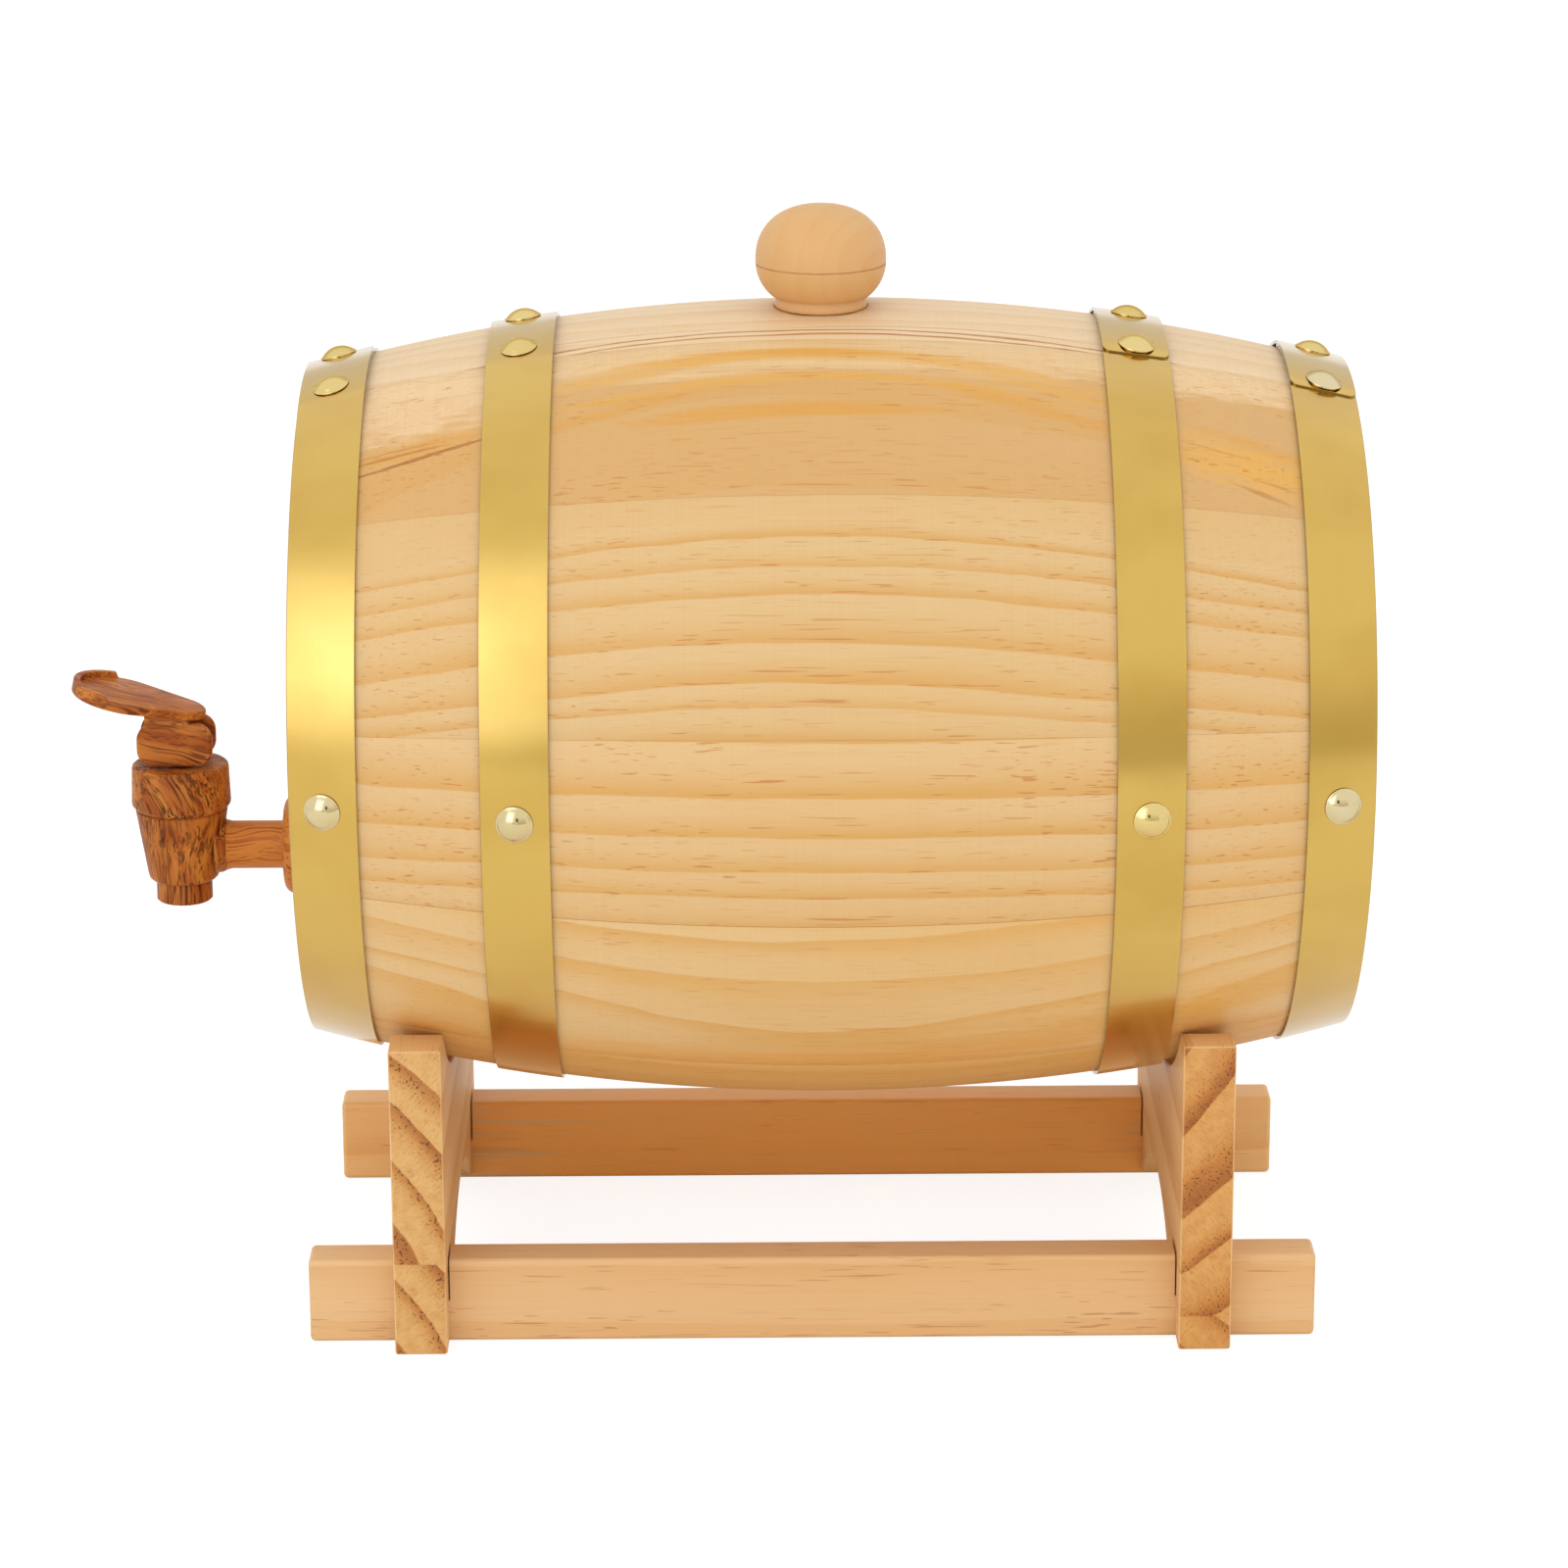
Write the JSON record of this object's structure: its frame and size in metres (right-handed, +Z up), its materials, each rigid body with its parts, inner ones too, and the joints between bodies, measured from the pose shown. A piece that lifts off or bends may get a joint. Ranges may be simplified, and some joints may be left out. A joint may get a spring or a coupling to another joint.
{
  "type": "wooden barrel dispenser",
  "caption": "Small wooden drink barrel with brass hoops, lying on a cradle stand, with a knobbed bung on top and a wood-grain lever tap in one end.",
  "frame": {"origin": "on the floor under the middle of the whole object's outline", "axes": "+X along the barrel, away from the tap; +Y across the barrel, away from the side in the picture; +Z up"},
  "size_m": [0.4207, 0.263, 0.3608],
  "materials": {
    "barrel_pine": "clear satin varnish",
    "stand_pine": "smooth unpainted",
    "bung_pine": "turned and smooth",
    "hoop_brass": "fine brushed",
    "rivet_brass": "polished domes",
    "tap_grain": "satin wood-grain film",
    "soft_seal": "soft and matte"
  },
  "bodies": {
    "stand": {"tap_cradle": "stand_pine", "back_cradle": "stand_pine", "front_rail": "stand_pine", "rear_rail": "stand_pine"},
    "barrel": {"stave_01": "barrel_pine", "stave_02": "barrel_pine", "stave_03": "barrel_pine", "stave_04": "barrel_pine", "stave_05": "barrel_pine", "stave_06": "barrel_pine", "stave_07": "barrel_pine", "stave_08": "barrel_pine", "stave_09": "barrel_pine", "stave_10": "barrel_pine", "stave_11": "barrel_pine", "tap_head": "barrel_pine", "back_head": "barrel_pine", "tap_end_hoop": "hoop_brass", "tap_bilge_hoop": "hoop_brass", "back_bilge_hoop": "hoop_brass", "back_end_hoop": "hoop_brass", "seam_rivets": "rivet_brass", "hoop_nails": "rivet_brass", "tap_body": "tap_grain", "outer_gasket": "soft_seal", "inner_gasket": "soft_seal", "tap_nut": "tap_grain", "bonnet": "tap_grain", "seat_cup": "soft_seal"},
    "bung": {"bung": "bung_pine"},
    "stem": {"valve_stem": "tap_grain"},
    "lever": {"lever": "tap_grain"}
  },
  "joints": [
    {"name": "barrel_lift", "type": "slide", "parent": "stand", "child": "barrel", "axis": [0, 0, 1], "range_m": [0, 0.12]},
    {"name": "bung_lift", "type": "slide", "parent": "barrel", "child": "bung", "axis": [0, 0, 1], "range_m": [0, 0.05]},
    {"name": "stem_slide", "type": "slide", "parent": "barrel", "child": "stem", "axis": [0, 0, 1], "range_m": [0, 0.005], "deforming": ["seat_cup"]},
    {"name": "lever_turn", "type": "hinge", "parent": "stem", "child": "lever", "pos_m": [-0.17325, 0, 0.18285], "axis": [0, 1, 0], "range_deg": [0, 80]}
  ],
  "couplings": [
    {"joint": "stem_slide", "follows": "lever_turn", "m_per_rad": 0.00358}
  ]
}
